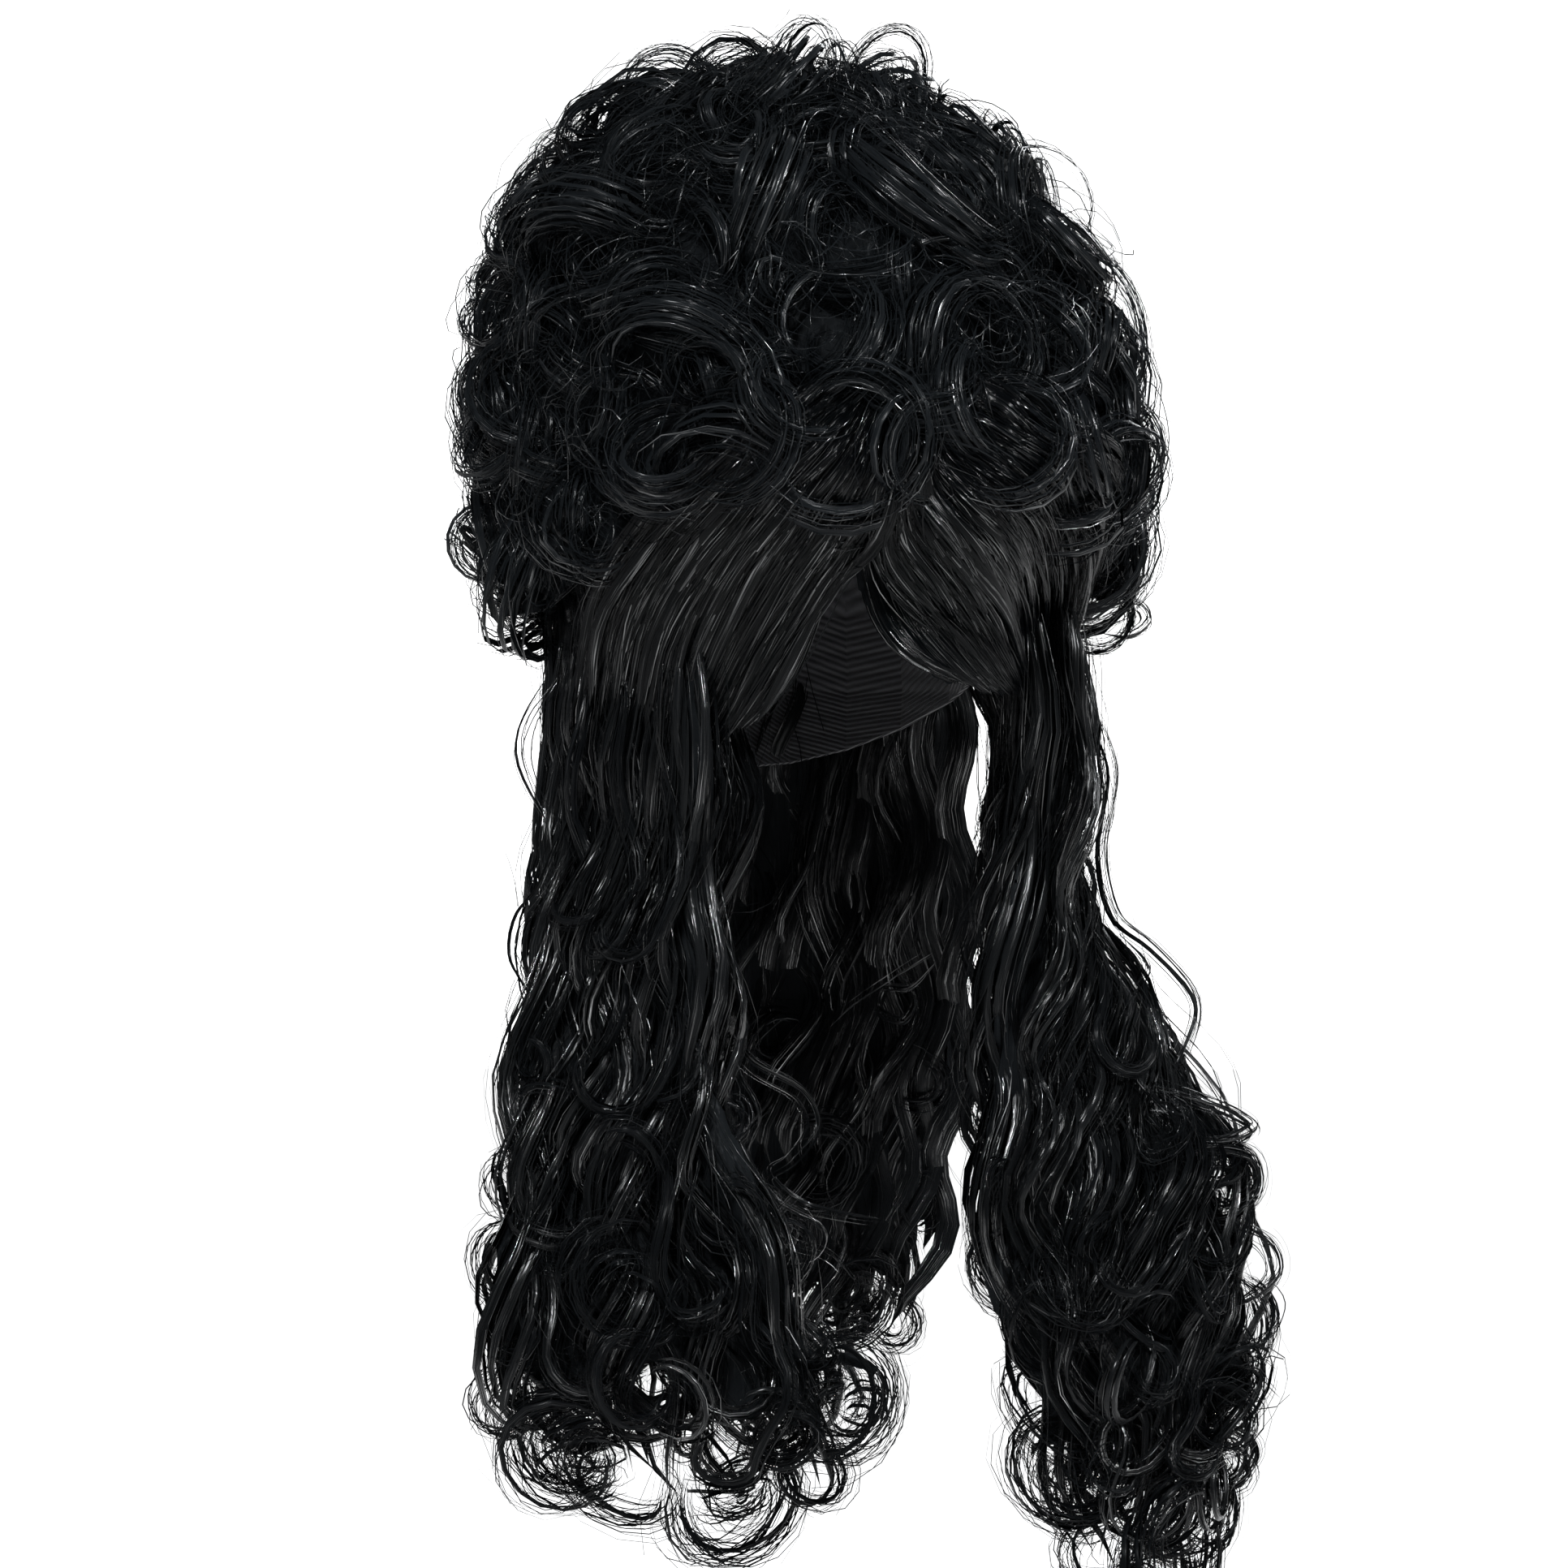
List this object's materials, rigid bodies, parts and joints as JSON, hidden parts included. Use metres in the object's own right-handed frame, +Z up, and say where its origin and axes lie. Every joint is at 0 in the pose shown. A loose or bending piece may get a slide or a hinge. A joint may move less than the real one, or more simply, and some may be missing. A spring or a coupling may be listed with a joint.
{
  "type": "beehive wig",
  "caption": "Tall black beehive wig of teased ring curls on a net cap, with a side-parted fringe and long wavy hair that ends in ringlets over both shoulders and down the back.",
  "frame": {"origin": "the inside top of the cap, where the crown of the wearer's head meets it", "axes": "+Z up, the wig faces -Y, +X is the wearer's left"},
  "size_m": [0.3424, 0.3054, 0.6674],
  "materials": {
    "cap_net": "matte elastic net with sewn rows of hair",
    "crown_hair": "glossy black synthetic hair in teased curls",
    "fringe_hair": "glossy black synthetic hair, combed smooth",
    "fall_hair": "glossy black synthetic hair in loose waves and ringlets"
  },
  "bodies": {
    "root": {"wig_cap": "cap_net", "beehive": "crown_hair", "fringe_long": "fringe_hair", "fringe_short": "fringe_hair", "fall_right": "fall_hair", "fall_left": "fall_hair", "fall_back": "fall_hair"}
  },
  "joints": []
}
